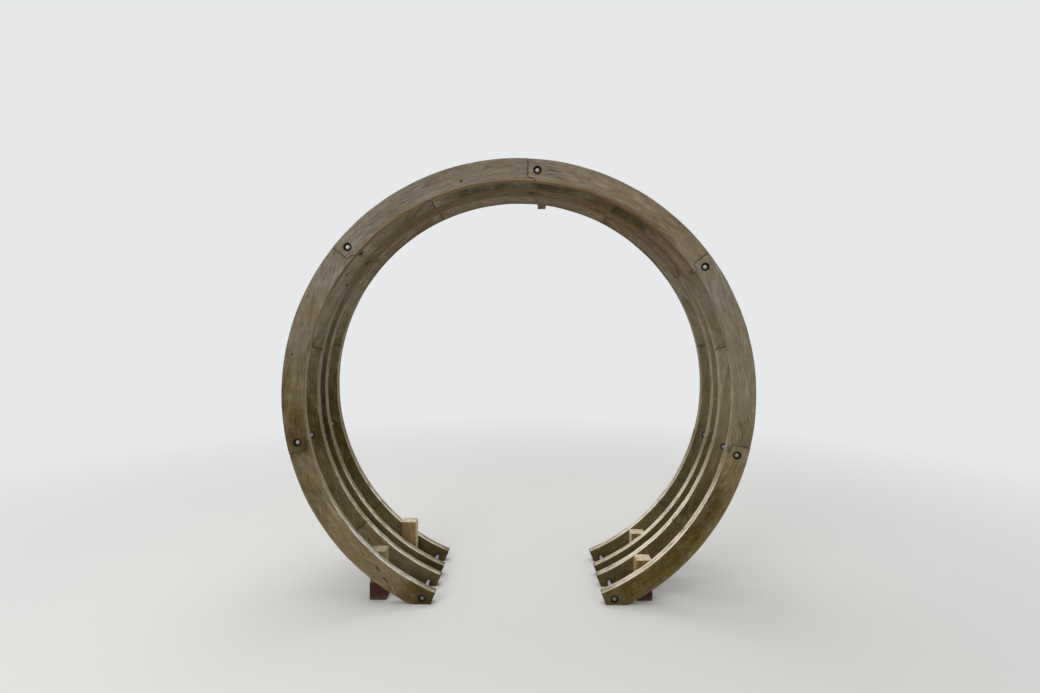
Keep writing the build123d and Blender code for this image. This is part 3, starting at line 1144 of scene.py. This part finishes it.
PAD_RADIUS = 0.0162
PAD_THICKNESS = 0.0045
for bay in ("front", "middle", "rear"):
    low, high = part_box("spacer_tubes_" + bay)
    pads = bmesh.new()
    tubes = bmesh.new()
    for centre in BOLT_POINTS:
        washer(tubes, centre, low[1], high[1], TUBE_RADIUS, TUBE_BORE, r=0.0005)
        for ends in ((low[1], low[1] + PAD_THICKNESS), (high[1] - PAD_THICKNESS, high[1])):
            washer(pads, centre, *ends, PAD_RADIUS, TUBE_RADIUS - 0.0002, r=0.001, bulge=0.0006)
    orient(pads)
    orient(tubes)
    add_piece(f"spacer_pads_{bay}", pads, RUBBER)
    add_piece(f"galvanised_tubes_{bay}", tubes, ZINC, ["spacer_tubes_" + bay])


# ---- floor, light and camera -----------------------------------------------------------


def pale_floor():
    """Plain pale floor that fades into the background with distance."""
    bpy.ops.mesh.primitive_grid_add(
        x_subdivisions=8, y_subdivisions=8, size=120, location=(0, 0, -0.0005)
    )
    floor = bpy.context.object
    floor.name = "floor"
    s = Shader("pale_floor")
    position = s.node("NewGeometry").outputs["Position"]
    sand = s.noise(position, 260.0, 3.0)
    colour = s.mix(s.span(sand, 0.3, 0.7), rgb(204, 203, 200), rgb(208, 207, 204))
    s.finish(colour, 0.9, specular=0.2)
    glow = s.node("Emission")
    glow.inputs["Color"].default_value = BACKDROP
    far = s.span(s.length(position), 1.3, 5.5)
    seen = s.node("LightPath").outputs["Is Camera Ray"]
    blend = s.node("MixShader")
    s.link(s.times(far, seen), blend.inputs[0])
    s.link(s.surface.outputs[0], blend.inputs[1])
    s.link(glow.outputs[0], blend.inputs[2])
    s.link(blend.outputs[0], s.output.inputs["Surface"])
    floor.data.materials.append(s.material)


BACKDROP = (0.80, 0.81, 0.82, 1.0)
SKY = (0.96, 0.98, 1.0, 1.0)
SKY_STRENGTH = 0.72
pale_floor()

world = bpy.data.worlds.new("studio")
bpy.context.scene.world = world
world.use_nodes = True
tree = world.node_tree
tree.nodes.clear()
out = tree.nodes.new("ShaderNodeOutputWorld")
soft = tree.nodes.new("ShaderNodeBackground")
soft.inputs["Color"].default_value = SKY
soft.inputs["Strength"].default_value = SKY_STRENGTH
plain = tree.nodes.new("ShaderNodeBackground")
plain.inputs["Color"].default_value = BACKDROP
paths = tree.nodes.new("ShaderNodeLightPath")
either = tree.nodes.new("ShaderNodeMath")
either.operation = "MAXIMUM"
swap = tree.nodes.new("ShaderNodeMixShader")
tree.links.new(paths.outputs["Is Camera Ray"], either.inputs[0])
tree.links.new(paths.outputs["Is Glossy Ray"], either.inputs[1])
tree.links.new(either.outputs[0], swap.inputs[0])
tree.links.new(soft.outputs[0], swap.inputs[1])
tree.links.new(plain.outputs[0], swap.inputs[2])
tree.links.new(swap.outputs[0], out.inputs["Surface"])


def area_light(name, location, target, size, power, colour=(1, 1, 1)):
    """Soft square lamp aimed at a point."""
    lamp = bpy.data.lights.new(name, "AREA")
    lamp.shape = "SQUARE"
    lamp.size = size
    lamp.energy = power
    lamp.color = colour
    item = bpy.data.objects.new(name, lamp)
    item.location = location
    aim = Vector(target) - Vector(location)
    item.rotation_euler = aim.to_track_quat("-Z", "Y").to_euler()
    bpy.context.scene.collection.objects.link(item)


area_light("sky", (-0.6, 0.8, 5.5), (0, 0, 0.8), size=4.5, power=150, colour=(1.0, 0.99, 0.97))
area_light("front", (-2.6, -4.2, 3.2), (0, 0, 0.9), size=3.0, power=90)

# The camera was fitted to points on the rings, in a frame 1040 pixels wide
FRAME_WIDTH = 1040
FOCAL_PIXELS = 600
SENSOR = 36.0
PITCH = -0.0454
YAW = 0.0079

camera_data = bpy.data.cameras.new("camera")
camera_data.sensor_width = SENSOR
camera_data.lens = SENSOR * FOCAL_PIXELS / FRAME_WIDTH
camera = bpy.data.objects.new("camera", camera_data)
camera.location = (0.0305, -3.043, 1.3426)
camera.rotation_euler = (math.pi / 2 + PITCH, 0.0, YAW)
bpy.context.scene.collection.objects.link(camera)
bpy.context.scene.camera = camera
bpy.context.scene.view_settings.view_transform = "Standard"
